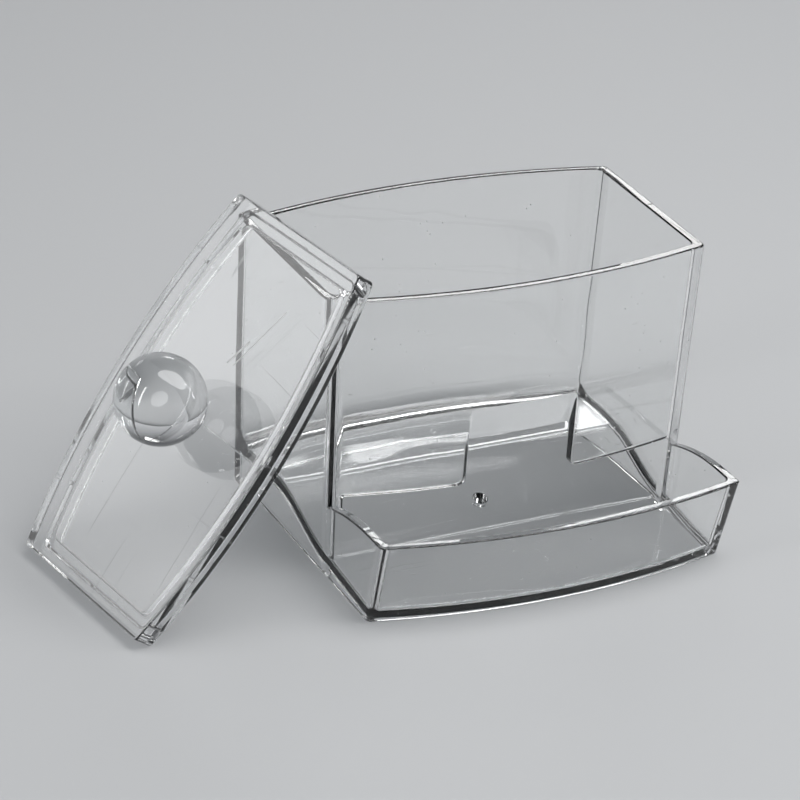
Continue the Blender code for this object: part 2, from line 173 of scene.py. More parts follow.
def box_reach(z):
    """From the middle of the box to the crown of its front or back face."""
    return RIM_HALF_DEPTH + WALL_BOW - (BOX_HEIGHT - z) * math.tan(FACE_DRAFT)


BACK_FOOT = box_reach(0.0) - WALL / 2
ROW_SHIFT = Matrix.Translation((0.0, -BACK_FOOT, 0.0))


def bow_y(x, reach, inset):
    """How far a bowed wall stands from the middle at x; inset walls share the same centre."""
    radius = BOW_RADIUS - inset
    return reach - BOW_RADIUS + math.sqrt(radius ** 2 - x ** 2)


def bowed_edge(half, reach, inset, corner):
    """Points along a bowed side: its two end corners, and steps between that leave room for the arcs."""
    inner = half - corner
    xs = [-half] + [inner * (2 * i / BOW_STEPS - 1) for i in range(BOW_STEPS + 1)] + [half]
    return [Vector((x, -bow_y(x, reach, inset))) for x in xs]


def bowed_plan(half_width, reach, inset, corner):
    """Straight ends and bowed long sides, as points around the outline."""
    front = bowed_edge(half_width - inset, reach, inset, corner)
    edge = front + [-point for point in front]
    last = len(front) - 1
    plan = []
    for i, point in enumerate(edge):
        if i % len(front) in (0, last):
            plan += round_corner(edge[i - 1], point, edge[(i + 1) % len(edge)], corner, CORNER_STEPS)
        else:
            plan.append(point)
    return plan


print("plan of %d points, %.1f mm wide at the rim and %.1f mm at the foot" % (
    len(bowed_plan(RIM_HALF_WIDTH, box_reach(BOX_HEIGHT), 0.0, OUTER_CORNER)),
    2 * box_half_width(BOX_HEIGHT) / MM, 2 * box_half_width(0.0) / MM))

# %% [markdown]
# The walls of the box are one closed tube of rings: up the outside, over the rounded rim, down the
# inside and back under the foot. Lofting them as a tyre needs no cutting, so the rim's tiny round
# stays perfectly even all the way along, which the eye reads as one clean bright line.


# %% Walls of the box
def wall_profile(thickness, height, ease):
    """(z, inset) around a wall's section: up the outside, over the rim, down inside, under the foot."""
    steps = eased(ease)
    outer_foot = [(edge, face) for edge, face in reversed(steps)]
    outer_rim = [(height - edge, face) for edge, face in steps]
    inner_rim = [(height - edge, thickness - face) for edge, face in reversed(steps)]
    inner_foot = [(edge, thickness - face) for edge, face in steps]
    return outer_foot + outer_rim + inner_rim + inner_foot


def box_ring(z, inset):
    plan = bowed_plan(box_half_width(z), box_reach(z), inset, corner_at(inset))
    return [Vector((p.x, p.y, z)) for p in plan]


box_shell = loft("box_shell", [box_ring(z, i) for z, i in wall_profile(WALL, BOX_HEIGHT, EDGE_EASE)],
                 closed=True)
print("walls:", len(box_shell.data.polygons), "faces")

# %% [markdown]
# The front wall stops short of the floor, so that swabs roll out under it, and a finger notch opens
# above the middle. Both are one opening, cut with a single tool. Its outline is drawn once and then
# repeated at several depths through the wall, each a little larger near the two faces, so the cut
# leaves rounded edges. The roof of the notch climbs steeply from the inside to the outside.

# %% Outline of the outlet and the notch
OUTLET_HEIGHT = 19.8 * MM
OUTLET_CORNER = 0.8 * MM
CORNER_POST = 1.2 * MM
NOTCH_HALF_WIDTH = 13.3 * MM
NOTCH_HEIGHT = 10.7 * MM
NOTCH_BEVEL = math.radians(75.0)
NOTCH_LOWER_CORNER = 1.8 * MM
NOTCH_UPPER_CORNER = 1.2 * MM
SILL_STEPS = 32
ROOF_STEPS = 12
OVERCUT = 3.0 * MM


def opening_outline(depth, grow):
    """Points (x, z) around the opening at one depth in the wall, grown by the edge's round."""
    foot = -OVERCUT
    sill = OUTLET_HEIGHT + grow
    roof = OUTLET_HEIGHT + NOTCH_HEIGHT + (WALL - depth) * math.tan(NOTCH_BEVEL)
    half = NOTCH_HALF_WIDTH + grow
    lower_radius = NOTCH_LOWER_CORNER - grow
    upper_radius = NOTCH_UPPER_CORNER + grow
    side = box_half_width(sill) - WALL - CORNER_POST
    side_foot = box_half_width(foot) - WALL - CORNER_POST
    post_foot, post_top = Vector((side_foot, foot)), Vector((side, sill))
    notch_foot, notch_top = Vector((half, sill)), Vector((half, roof))
    middle = Vector((0.0, roof))
    right = [post_foot] + round_corner(post_foot, post_top, notch_foot, OUTLET_CORNER, CORNER_STEPS)
    start = right[-1].x
    end = half + lower_radius
    right += [Vector((start + (end - start) * i / SILL_STEPS, sill)) for i in range(1, SILL_STEPS)]
    right += round_corner(post_top, notch_foot, notch_top, lower_radius, CORNER_STEPS)
    right += round_corner(notch_foot, notch_top, middle, upper_radius, CORNER_STEPS)
    start = right[-1].x
    right += [Vector((start * (1 - i / ROOF_STEPS), roof)) for i in range(1, ROOF_STEPS + 1)]
    return right + [Vector((-p.x, p.y)) for p in reversed(right[:-1])]


print("half of the outline has", len(opening_outline(0.0, 0.0)) // 2 + 1, "points")

# %% [markdown]
# A Boolean needs a tool that passes clean through the wall and never ends exactly on one of its faces,
# so the outermost layers stand a hair outside it, and the tool reaches well past them. Inside the wall
# the layers follow the bow, and their outline shrinks and grows again with the round of the two edges.

# %% Tool for the opening
SKIN = 0.05 * MM


def opening_layers():
    """(depth from the outer face, growth of the outline), from in front of the wall to behind it."""
    steps = eased(EDGE_EASE)[:-1]
    last_depth, last_grow = steps[-1]
    beyond = last_grow + (last_depth + SKIN) * (EDGE_EASE - last_grow) / last_depth
    outer = [(-SKIN, beyond)] + list(reversed(steps))
    return outer + [(WALL - depth, grow) for depth, grow in reversed(outer)]


def opening_ring(depth, grow, flat_y=None):
    ring = []
    for p in opening_outline(depth, grow):
        y = -bow_y(p.x, box_reach(p.y), depth) if flat_y is None else flat_y
        ring.append(Vector((p.x, y, p.y)))
    return ring


layers = opening_layers()
front_y = -box_reach(BOX_HEIGHT) - OVERCUT
back_y = -RIM_HALF_DEPTH / 2
rings = [opening_ring(*layers[0], flat_y=front_y)]
rings += [opening_ring(depth, grow) for depth, grow in layers]
rings += [opening_ring(*layers[-1], flat_y=back_y)]
opening_tool = loft("opening_tool", rings)
print("opening tool:", len(rings), "layers of", len(rings[0]), "points")

# %% [markdown]
# The tray's wall runs round three sides in front of the box. It is lofted along its path: at each
# station stands one closed section of the wall, and the height of the section follows the arched top
# edge of the side walls. The front leans outward, so each section is drawn from its own heights. The
# side walls stand a hair inside those of the box, because a Boolean goes wrong where faces share a plane.

# %% Path and height of the tray's wall
TRAY_TOP_REACH = 26.9 * MM
TRAY_FOOT_REACH = 21.3 * MM
TRAY_HEIGHT = 21.5 * MM
TRAY_SHOULDER = 17.4 * MM
TRAY_SIDE_STEP = 0.05 * MM
TRAY_SIDE_STEPS = 16
ARCH_PARTS = 6


def tray_reach(z):
    """From the middle of the box to the crown of the tray's leaning front face."""
    slope = (TRAY_TOP_REACH - TRAY_FOOT_REACH) / TRAY_HEIGHT
    return RIM_HALF_DEPTH + WALL_BOW + TRAY_FOOT_REACH + slope * z


tray_back_y = -(box_reach(0.0) - WALL_BOW) + WALL / 2


def tray_path(z, inset):
    """Points (x, y) from the left side wall round the front to the right side wall."""
    half = box_half_width(z) - TRAY_SIDE_STEP - inset
    front = bowed_edge(half, tray_reach(z), inset, corner_at(inset))
    run = front[0].y + corner_at(inset) - tray_back_y
    ys = [tray_back_y + run * i / TRAY_SIDE_STEPS for i in range(TRAY_SIDE_STEPS + 1)]
    left = [Vector((-half, y)) for y in ys]
    right = [Vector((half, y)) for y in reversed(ys)]
    path = left + round_corner(left[-1], front[0], front[1], corner_at(inset), CORNER_STEPS)
    path += front[1:-1] + round_corner(front[-2], front[-1], right[0], corner_at(inset), CORNER_STEPS)
    return path + right


def tray_top(y):
    """Height of the top edge: arched along the sides, level along the front."""
    front = -tray_reach(TRAY_HEIGHT) + WALL_BOW
    peak = front - (front + box_reach(TRAY_SHOULDER) - WALL_BOW) / ARCH_PARTS
    run = -box_reach(TRAY_SHOULDER) + WALL_BOW - peak
    if y < peak:
        return TRAY_HEIGHT
    return TRAY_HEIGHT - (TRAY_HEIGHT - TRAY_SHOULDER) * ((y - peak) / run) ** 2


tops = [tray_top(point.y) for point in tray_path(TRAY_HEIGHT, 0.0)]
print("%d stations, top edge %.1f to %.1f mm high" % (len(tops), min(tops) / MM, max(tops) / MM))

# %% [markdown]
# Each station's section is the same closed outline as the box's wall has, only lower: it walks up the
# outside, over the rounded top edge and down the inside. Because the front leans, a point's place along
# the path is looked up at its own height.

# %% Wall of the tray
stations = [[] for top in tops]
for number, top in enumerate(tops):
    for z, inset in wall_profile(WALL, top, EDGE_EASE):
        point = tray_path(z, inset)[number]
        stations[number].append(Vector((point.x, point.y, z)))
tray_wall = loft("tray_wall", stations)
print("tray wall:", len(tray_wall.data.polygons), "faces")

# %% [markdown]
# The floor is a curved sheet: level at the rear, then a ramp that eases down to the outlet and on into
# the tray. It meets every wall in a small scoop, since a moulded inside corner is always filled a
# little, and swabs would lodge in a sharp one. Sections stand side by side along the box, and each
# reaches a millimetre into the walls, so that joining them leaves no gap.

# %% Height of the floor
FLOOR_REAR_HEIGHT = 10.5 * MM
FLOOR_OUTLET_HEIGHT = 4.3 * MM
FLOOR_FRONT_HEIGHT = 2.6 * MM
RAMP_TOP_BACK = 4.0 * MM


def floor_height(y):
    outlet_y = -box_reach(FLOOR_OUTLET_HEIGHT) + WALL_BOW
    front_y = outlet_y - TRAY_FOOT_REACH
    if y >= RAMP_TOP_BACK:
        return FLOOR_REAR_HEIGHT
    if y <= outlet_y:
        share = (outlet_y - y) / (outlet_y - front_y)
        return FLOOR_OUTLET_HEIGHT + (FLOOR_FRONT_HEIGHT - FLOOR_OUTLET_HEIGHT) * share
    share = (y - outlet_y) / (RAMP_TOP_BACK - outlet_y)
    ease = share * share * (3 - 2 * share)
    return FLOOR_OUTLET_HEIGHT + (FLOOR_REAR_HEIGHT - FLOOR_OUTLET_HEIGHT) * ease


for title, y in (("rear", RAMP_TOP_BACK), ("outlet", WALL_BOW - box_reach(FLOOR_OUTLET_HEIGHT))):
    print("floor at the %s: %.1f mm high" % (title, floor_height(y) / MM))

# %% [markdown]
# The cross-section of the floor runs from the rear wall to the front of the tray, along its top, and
# back along its underside. Where a side wall is near, the whole section is lifted by the scoop there,
# so the same function draws the sections in the open and those that climb the walls.

# %% Section of the floor
FLOOR_THICKNESS = 2.0 * MM
REAR_FILLET = 5.5 * MM
SIDE_FILLET = 1.2 * MM
UNDER_FILLET = 0.6 * MM
RAMP_STEPS = 40
FILLET_STEPS = 12
SCOOP_STEPS = 6
SEAT = WALL * 0.48


def floor_section(x_at, raised):
    """One closed section of the floor; raised is how far the side scoop lifts it there."""
    near = abs(x_at(FLOOR_REAR_HEIGHT))
    wall_y = bow_y(near, box_reach(FLOOR_REAR_HEIGHT + REAR_FILLET), WALL)
    tray_y = -bow_y(near, tray_reach(FLOOR_FRONT_HEIGHT), WALL)
    outlet_y = -box_reach(FLOOR_OUTLET_HEIGHT) + WALL_BOW
    top = [(wall_y + SEAT, FLOOR_REAR_HEIGHT + REAR_FILLET)]
    for edge, face in reversed(eased(REAR_FILLET, FILLET_STEPS)):
        top.append((wall_y - edge, FLOOR_REAR_HEIGHT + face))
    for i in range(RAMP_STEPS + 1):
        y = RAMP_TOP_BACK + (outlet_y - RAMP_TOP_BACK) * i / RAMP_STEPS
        top.append((y, floor_height(y)))
    for edge, face in eased(SIDE_FILLET, SCOOP_STEPS):
        top.append((tray_y + edge, floor_height(tray_y) + face))
    top.append((tray_y - SEAT, floor_height(tray_y) + SIDE_FILLET))
    under = [(wall_y + SEAT, FLOOR_REAR_HEIGHT - FLOOR_THICKNESS - UNDER_FILLET)]
    for edge, face in reversed(eased(UNDER_FILLET, EASE_STEPS)):
        under.append((wall_y - edge, FLOOR_REAR_HEIGHT - FLOOR_THICKNESS - face))
    for i in range(RAMP_STEPS + 1):
        y = RAMP_TOP_BACK + (outlet_y - RAMP_TOP_BACK) * i / RAMP_STEPS
        under.append((y, floor_height(y) - FLOOR_THICKNESS))
    under.append((tray_y - SEAT, floor_height(tray_y) - FLOOR_THICKNESS))
    lowered = min(raised, UNDER_FILLET)
    section = [Vector((x_at(z), y, z + raised)) for y, z in top]
    return section + [Vector((x_at(z), y, z - lowered)) for y, z in reversed(under)]


print("section of", len(floor_section(lambda z: 0.0, 0.0)), "points")

# %% [markdown]
# The sheet begins inside the left wall, climbs out of it over the scoop, runs across the open floor and
# goes the same way into the right wall. The side walls lean with the draft, so a section that touches
# one of them takes its place across the box from the height of each of its points.


# %% Floor sheet
def inner_half(z):
    return box_half_width(z) - TRAY_SIDE_STEP - WALL


def side_section(sign, inward, raised):
    return floor_section(lambda z: sign * (inner_half(z) - inward), raised)


scoop = eased(SIDE_FILLET, SCOOP_STEPS)
clear_half = inner_half(0.0) - SIDE_FILLET
sections = [side_section(-1, -SEAT, SIDE_FILLET)]
sections += [side_section(-1, edge, face) for edge, face in reversed(scoop)]
for i in range(1, BOW_STEPS):
    x = clear_half * (2 * i / BOW_STEPS - 1)
    sections.append(floor_section(lambda z, x=x: x, 0.0))
sections += [side_section(1, edge, face) for edge, face in scoop]
sections.append(side_section(1, -SEAT, SIDE_FILLET))
floor_sheet = loft("floor_sheet", sections)
print("floor:", len(sections), "sections side by side")

# %% [markdown]
# Under the floor stands the gate stub, the little peg left where the melt entered the mould. It tapers
# slightly, so that it could snap off clean, and it looks like a bright dot through the floor. A short
# cone does it, whose upper end is sunk into the floor.

# %% Gate stub
GATE_RADIUS = 1.9 * MM
GATE_TIP = 0.8
GATE_LENGTH = 1.6 * MM
GATE_FORWARD = 11.7 * MM
GATE_STEPS = 48


def cone(name, centre, radius_low, radius_high, depth, segments):
    shape = bmesh.new()
    bmesh.ops.create_cone(shape, cap_ends=True, segments=segments, radius1=radius_low,
                          radius2=radius_high, depth=depth, matrix=Matrix.Translation(centre))
    mesh = bpy.data.meshes.new(name)
    shape.to_mesh(mesh)
    shape.free()
    item = bpy.data.objects.new(name, mesh)
    bpy.context.scene.collection.objects.link(item)
    return item


under_gate = floor_height(-GATE_FORWARD) - FLOOR_THICKNESS
gate_depth = GATE_LENGTH + FLOOR_THICKNESS / 2
gate_stub = cone("gate_stub", (0.0, -GATE_FORWARD, under_gate - GATE_LENGTH + gate_depth / 2),
                 GATE_RADIUS * GATE_TIP, GATE_RADIUS, gate_depth, GATE_STEPS)
print("gate stub %.1f mm across" % (2 * GATE_RADIUS / MM))

# %% [markdown]
# Now the parts of the box become one moulding. They could simply be left inside each other, and on an
# opaque material nobody would know, but clear plastic bends light at every hidden face. Exact Booleans
# leave one closed skin: the opening is cut first, then the tray, the floor and the stub are added.


# %% Join the box
def combine(item, operation, tools):
    """Apply each Boolean in turn and clear its tool away."""
    for tool in tools:
        modifier = item.modifiers.new("combine", 'BOOLEAN')
        modifier.operation = operation
        modifier.solver = 'EXACT'
        modifier.object = tool
        bpy.context.view_layer.update()
        graph = bpy.context.evaluated_depsgraph_get()
        joined = bpy.data.meshes.new_from_object(item.evaluated_get(graph))
        item.modifiers.clear()
        item.data = joined
        bpy.data.objects.remove(tool, do_unlink=True)


combine(box_shell, 'DIFFERENCE', [opening_tool])
combine(box_shell, 'UNION', [tray_wall, floor_sheet, gate_stub])
print("box joined:", len(box_shell.data.polygons), "faces")

# %% [markdown]
# The lid is a thick plate with a shallow skirt that fits in the mouth of the box. It needs no cutting at
# all for its main form. A list of heights and insets walks over it: the top's round, the side, the
# underside, down the skirt and up again inside it. The skirt's rings come from the plan of the box, less
# the wall and a clearance, so the lid would still fit if the box changed.

# %% Lid with its skirt
LID_THICKNESS = 5.0 * MM
LID_FACE_OVERHANG = 0.5 * MM
LID_END_SETBACK = 0.5 * MM
SKIRT_HEIGHT = 3.0 * MM
SKIRT_WALL = 2.4 * MM
SKIRT_CLEARANCE = 0.5 * MM
SKIRT_FILLET = 0.4 * MM
LID_REACH = RIM_HALF_DEPTH + WALL_BOW + LID_FACE_OVERHANG
LID_HALF_WIDTH = RIM_HALF_WIDTH - LID_END_SETBACK


def lid_ring(z, inset):
    plan = bowed_plan(LID_HALF_WIDTH, LID_REACH, inset, corner_at(min(inset, WALL)))
    return [Vector((p.x, p.y, z)) for p in plan]


def skirt_ring(z, inset):
    plan = bowed_plan(RIM_HALF_WIDTH, box_reach(BOX_HEIGHT), inset, corner_at(min(inset, WALL)))
    return [Vector((p.x, p.y, z)) for p in plan]


skirt_outside = WALL + SKIRT_CLEARANCE
skirt_inside = skirt_outside + SKIRT_WALL
edge_round = eased(EDGE_EASE)
root_scoop = eased(SKIRT_FILLET)
slab_walk = [(LID_THICKNESS - edge, face) for edge, face in reversed(edge_round)]
slab_walk += [(edge, face) for edge, face in edge_round]
skirt_walk = [(-face, skirt_outside - edge) for edge, face in root_scoop]
skirt_walk += [(edge - SKIRT_HEIGHT, skirt_outside + face) for edge, face in edge_round]
skirt_walk += [(edge - SKIRT_HEIGHT, skirt_inside - face) for edge, face in reversed(edge_round)]
skirt_walk += [(-face, skirt_inside + edge) for edge, face in reversed(root_scoop)]
lid_rings = [lid_ring(z, inset) for z, inset in slab_walk]
lid_rings += [skirt_ring(z, inset) for z, inset in skirt_walk]
lid_shell = loft("lid_shell", lid_rings)
print("lid plate and skirt:", len(lid_rings), "rings")

# %% [markdown]
# Eight fine ribs on the skirt grip the mouth of the box. They are narrow, upright and crisp-edged: seen
# through the plate, each one shows as two short bright ticks, one for each of its sides, so they are
# small lofts with real flat sides and not dots. They sit three to a long side and one to an end.

# %% Grip ribs
RIB_WIDTH = 0.9 * MM
RIB_STAND = 0.4 * MM
RIB_EASE = 0.12 * MM
RIB_LEAD_IN = 0.6 * MM
RIB_ROOT = 0.8 * MM
RIB_FRACTIONS = (-2 / 3, 0.0, 2 / 3)


def rib_places(inset):
    """(point, outward direction): three ribs on each bowed side and one at the middle of each end."""
    half = RIM_HALF_WIDTH - inset
    centre = Vector((0.0, box_reach(BOX_HEIGHT) - BOW_RADIUS))
    places = []
    for share in RIB_FRACTIONS:
        x = half * share
        point = Vector((x, bow_y(x, box_reach(BOX_HEIGHT), inset)))
        outward = (point - centre).normalized()
        places += [(point, outward), (-point, -outward)]
    return places + [(Vector((sign * half, 0.0)), Vector((sign, 0.0))) for sign in (1.0, -1.0)]


def grip_rib(point, outward):
    """A fine upright rib on the skirt, led in at its foot."""
    side = Vector((-outward.y, outward.x))
    low = EDGE_EASE - SKIRT_HEIGHT
    rings = []
    for z, stand in ((RIB_ROOT, RIB_STAND), (low + RIB_LEAD_IN, RIB_STAND), (low, RIB_EASE)):
        half = RIB_WIDTH / 2
        cut = RIB_EASE * stand / RIB_STAND
        outline = [(-half, -RIB_ROOT), (half, -RIB_ROOT), (half, stand - cut), (half - cut, stand),
                   (cut - half, stand), (-half, stand - cut)]
        places = [point + side * along + outward * out for along, out in outline]
        rings.append([Vector((p.x, p.y, z)) for p in places])
    return loft("grip_rib", rings)


ribs = [grip_rib(point, outward) for point, outward in rib_places(skirt_outside)]
print(len(ribs), "ribs")

# %% [markdown]
# A blind hole in the middle of the plate takes the knob's spigot. It is a little wider than the spigot,
# which is how a bonded joint leaves room for its cement. The ribs join the plate first, and then a
# cylinder takes the hole out of it, so the lid too ends as one closed skin.

# %% Hole for the knob
SPIGOT_RADIUS = 2.5 * MM
SPIGOT_LENGTH = 3.6 * MM
SPIGOT_CLEARANCE = 0.3 * MM
TURN_STEPS = 160

hole_depth = SPIGOT_LENGTH + OVERCUT
hole_radius = SPIGOT_RADIUS + SPIGOT_CLEARANCE
spigot_hole = cone("spigot_hole", (0.0, 0.0, LID_THICKNESS - SPIGOT_LENGTH + hole_depth / 2),
                   hole_radius, hole_radius, hole_depth, TURN_STEPS)
combine(lid_shell, 'UNION', ribs)
combine(lid_shell, 'DIFFERENCE', [spigot_hole])
print("lid:", len(lid_shell.data.polygons), "faces")

# %% [markdown]
# The knob is a solid ball on a short foot, with the spigot below. A UV sphere would give the ball but not
# the crease where it meets its foot, so half its outline is drawn and turned about the axis. A clear
# ball is a strong lens that shows every facet, so it gets the finest steps of all.

# %% Outline of the knob
BALL_RADIUS = 10.3 * MM
BALL_CENTRE_HEIGHT = 8.5 * MM
BALL_STEPS = 90
KNOB_FOOT_RADIUS = 6.35 * MM
KNOB_FOOT_EASE = 0.15 * MM


def knob_outline():
    """(radius, height above the lid) from the top of the ball to the end of the spigot."""
    join_angle = math.pi - math.asin(KNOB_FOOT_RADIUS / BALL_RADIUS)
    points = []
    for i in range(1, BALL_STEPS + 1):
        angle = join_angle * i / BALL_STEPS
        points.append((BALL_RADIUS * math.sin(angle), BALL_CENTRE_HEIGHT + BALL_RADIUS * math.cos(angle)))
    points.append((KNOB_FOOT_RADIUS, KNOB_FOOT_EASE))
    points.append((KNOB_FOOT_RADIUS - KNOB_FOOT_EASE, 0.0))
    points.append((SPIGOT_RADIUS, 0.0))
    points.append((SPIGOT_RADIUS, KNOB_FOOT_EASE - SPIGOT_LENGTH))
    points.append((SPIGOT_RADIUS - KNOB_FOOT_EASE, -SPIGOT_LENGTH))
    return points


print("outline of", len(knob_outline()), "points")

# %% [markdown]
# A hair-thin seam runs over the ball where the two halves of its mould met. A bump would only fake its
# shading, but the ball bends the seam into its own reflections, so it is real: each ring swells by a
# few hundredths of a millimetre where it crosses the seam's plane.

# %% Ball knob with its seam
SEAM_STAND = 0.03 * MM
SEAM_HALF_WIDTH = 0.25 * MM
SEAT_GAP = 0.3 * MM

rings = []
for radius, height in knob_outline():
    ring = []
    for step in range(TURN_STEPS):
        turn = 2 * math.pi * step / TURN_STEPS
        off_seam = radius * math.sin(turn) / SEAM_HALF_WIDTH
        stand = SEAM_STAND * math.exp(-off_seam ** 2) if height > KNOB_FOOT_EASE else 0.0
        ring.append(Vector(((radius + stand) * math.cos(turn), (radius + stand) * math.sin(turn), height)))
    rings.append(ring)
knob_shell = loft("knob_shell", rings)
knob_shell.data.transform(Matrix.Translation((0.0, 0.0, LID_THICKNESS + SEAT_GAP)))
print("knob:", len(knob_shell.data.polygons), "faces")

# %% [markdown]
# A finish made of noise needs coordinates to live in. Object coordinates would do for the box, but the
# lid's mesh is about to be turned, and its scratches have to turn with it. So each piece first notes
# where its points are while it still stands upright. The note is an attribute of the mesh, which the
# material reads later.


# %% Keep the upright places
def keep_own_place(piece):
    """Store where each point is on the upright piece, so that its finish doesn't slide as it leans."""
    place = piece.data.attributes.new("own_place", 'FLOAT_VECTOR', 'POINT')
    place.data.foreach_set("vector", [number for point in piece.data.vertices for number in point.co])


for piece in (box_shell, lid_shell, knob_shell):
    keep_own_place(piece)
    print(piece.name, "keeps", len(piece.data.vertices), "places")

# %% [markdown]
# The lid leans: its foot edge stands on the table and its underside rests on the corner of the rim. It
# could be turned by eye until it looks right, but then it would float or cut in a little. The lean, the
# turn and the offset to the side were fitted to the photograph, and the rest is worked out from them:
# the height that puts the lowest edge on the table, and the slide that brings the underside just over
# the rim's highest point on that side.

# %% Lean the lid on the box
LID_LEAN = math.radians(54.8)
LID_YAW = math.radians(8.5)
LID_OFF_CORNER = 15.4 * MM


def lean_matrix():
    along = Vector((math.cos(LID_LEAN) * math.cos(LID_YAW), math.cos(LID_LEAN) * math.sin(LID_YAW),
                    math.sin(LID_LEAN)))
    across = Vector((-math.sin(LID_YAW), math.cos(LID_YAW), 0.0))
    out = along.cross(across)
    turn = Matrix((along, across, out)).transposed()
    rim = box_ring(BOX_HEIGHT, EDGE_EASE) + box_ring(BOX_HEIGHT - EDGE_EASE, 0.0)
    touch = max(rim, key=lambda point: point.dot(out))
    slab = [point for z, inset in slab_walk for point in lid_ring(z, inset)]
    height = -min((turn @ point).z for point in slab)
    level = Vector((math.cos(LID_YAW), math.sin(LID_YAW), 0.0))
    plane = touch.dot(out) + SEAT_GAP
    forward = (math.cos(LID_LEAN) * height - plane) / math.sin(LID_LEAN)
    side = touch.dot(across) + LID_OFF_CORNER
    return Matrix.Translation(level * forward + across * side + Vector((0.0, 0.0, height))) @ turn.to_4x4()


lean = lean_matrix()
lid_shell.data.transform(lean)
knob_shell.data.transform(lean)
print("the lid's middle stands %.1f mm over the table" % (lean.translation.z / MM))

# %% [markdown]
# Smooth shading hides the steps of the curves, but a flat face of a moulding has to stay flat, or it
# bends light where it shouldn't. Edges turned by more than a set angle stay sharp, and weighted normals
# let the large flat faces win over the tiny rounds beside them. Then each piece takes the place of its
# plain one in the frame and rides on its body. The knob rides on the lid's body and lifts with it.

# %% Shade the pieces and put them in the frame
SHARP_FROM = math.radians(32)
FLAT_FACE_WEIGHT = 90


def smooth(piece):
    piece.data.shade_smooth()
    piece.data.set_sharp_from_angle(angle=SHARP_FROM)
    weighted = piece.modifiers.new("flat_faces_stay_flat", 'WEIGHTED_NORMAL')
    weighted.keep_sharp = True
    weighted.weight = FLAT_FACE_WEIGHT


for piece, node, body, slot in ((box_shell, "box_with_tray", "box", "box_plastic"),
                                (lid_shell, "lid_plate", "lid", "lid_plastic"),
                                (knob_shell, "ball_knob", "lid", "knob_plastic")):
    piece.matrix_world = ROW_SHIFT
    smooth(piece)
    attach(piece, body)
    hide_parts(node)
    bpy.context.view_layer.update()
    points = [piece.matrix_world @ v.co for v in piece.data.vertices]
    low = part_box(node)[0]
    apart = max(abs(min(p[k] for p in points) - low[k]) for k in range(3))
    print("%s: low corner within %.2f mm of its node's" % (piece.name, apart / MM))

# %% [markdown]
# The plastic. Clear polystyrene lets light through, bends it strongly and mirrors a little at every
# face. A plain glass shader would look like a drawing of it. What makes it look real is what spoils it:
# hairline scratches from handling, specks of dust, and a faint waviness from the way the melt flowed.
# Three helpers keep the node trees short: one adds a node with its values, one maps a value onto a
# range, and one does a sum.


# %% Helpers for material nodes
def add(tree, kind, **values):
    node = tree.nodes.new(kind)
    for key, value in values.items():
        if hasattr(node, key):
            setattr(node, key, value)
        else:
            node.inputs[key.replace("_", " ")].default_value = value
    return node


def ramp(tree, source, low, high, at_low, at_high):
    """Maps a value from one range onto another and stops at its ends."""
    node = add(tree, "ShaderNodeMapRange")
    for socket, value in zip(node.inputs[1:5], (low, high, at_low, at_high)):
        socket.default_value = value
    tree.links.new(source, node.inputs["Value"])
    return node.outputs["Result"]


def maths(tree, operation, first, second):
    node = add(tree, "ShaderNodeMath", operation=operation)
    for socket, value in zip(node.inputs, (first, second)):
        if isinstance(value, float):
            socket.default_value = value
        else:
            tree.links.new(value, socket)
    return node.outputs["Value"]


print("node helpers: add, ramp, maths")

# %% [markdown]
# Hairline scratches could be drawn one by one, but a cloth wiped over plastic leaves hundreds of them.
# A noise squeezed along one way turns its blobs into long streaks, and a narrow ramp keeps only their
# crests. Dust comes from a Voronoi pattern, which has one round spot in each of its cells. Each cell
# also has a grey of its own, so a limit on that grey picks a few of the spots.

# %% Hairline scratches and dust
STREAK_DETAIL = 2.0
STREAK_ROUGHNESS = 0.4
STREAK_EDGE = 0.03
SPECK_CELLS = 480.0
SPECK_RADIUS = 0.10
SPECK_CORE = 0.6
SPECK_CHOICE = 0.01


def hairlines(tree, coordinates, turn, stretch, scale, keep):
    """Fine parallel scratches; keep is the height above which a streak counts."""
    mapping = add(tree, "ShaderNodeMapping")
    mapping.inputs["Rotation"].default_value = turn
    mapping.inputs["Scale"].default_value = stretch
    tree.links.new(coordinates, mapping.inputs["Vector"])
    noise = add(tree, "ShaderNodeTexNoise", Scale=scale, Detail=STREAK_DETAIL, Roughness=STREAK_ROUGHNESS)
    tree.links.new(mapping.outputs["Vector"], noise.inputs["Vector"])
    return ramp(tree, noise.outputs["Fac"], keep, keep + STREAK_EDGE, 0.0, 1.0)


def dust(tree, coordinates, share):
    """Small round specks in that share of the cells."""
    cells = add(tree, "ShaderNodeTexVoronoi", Scale=SPECK_CELLS)
    tree.links.new(coordinates, cells.inputs["Vector"])
    spot = ramp(tree, cells.outputs["Distance"], SPECK_RADIUS * SPECK_CORE, SPECK_RADIUS, 1.0, 0.0)
    chosen = ramp(tree, cells.outputs["Color"], 1 - share, 1 - share + SPECK_CHOICE, 0.0, 1.0)
    return maths(tree, 'MULTIPLY', spot, chosen)


print("a dust cell is about %.1f mm across" % (1 / SPECK_CELLS / MM))

# %% [markdown]
# The lid has two scratches that stand out, a short deep one and a long fine one, and a faint weld line
# where the melt met again beyond the knob. No noise puts a mark exactly there, so each of them is
# measured out. Nodes find the nearest point on the line, and how far away it is, and a ramp turns that
# distance into a mark.

# %% Single scratches at their own places
LID_TOP = LID_THICKNESS / MM
LINE_CORE = 0.4
# start and end in millimetres from the lid's middle, half width in millimetres, depth from 0 to 1
LID_LINES = (((14.1, -2.4, LID_TOP), (20.5, -5.1, LID_TOP), 0.26, 1.0),
             ((14.4, -4.6, LID_TOP), (30.5, -10.3, LID_TOP), 0.17, 0.8),
             ((0.0, -6.8, LID_TOP), (0.0, -28.0, LID_TOP), 0.15, 0.3))


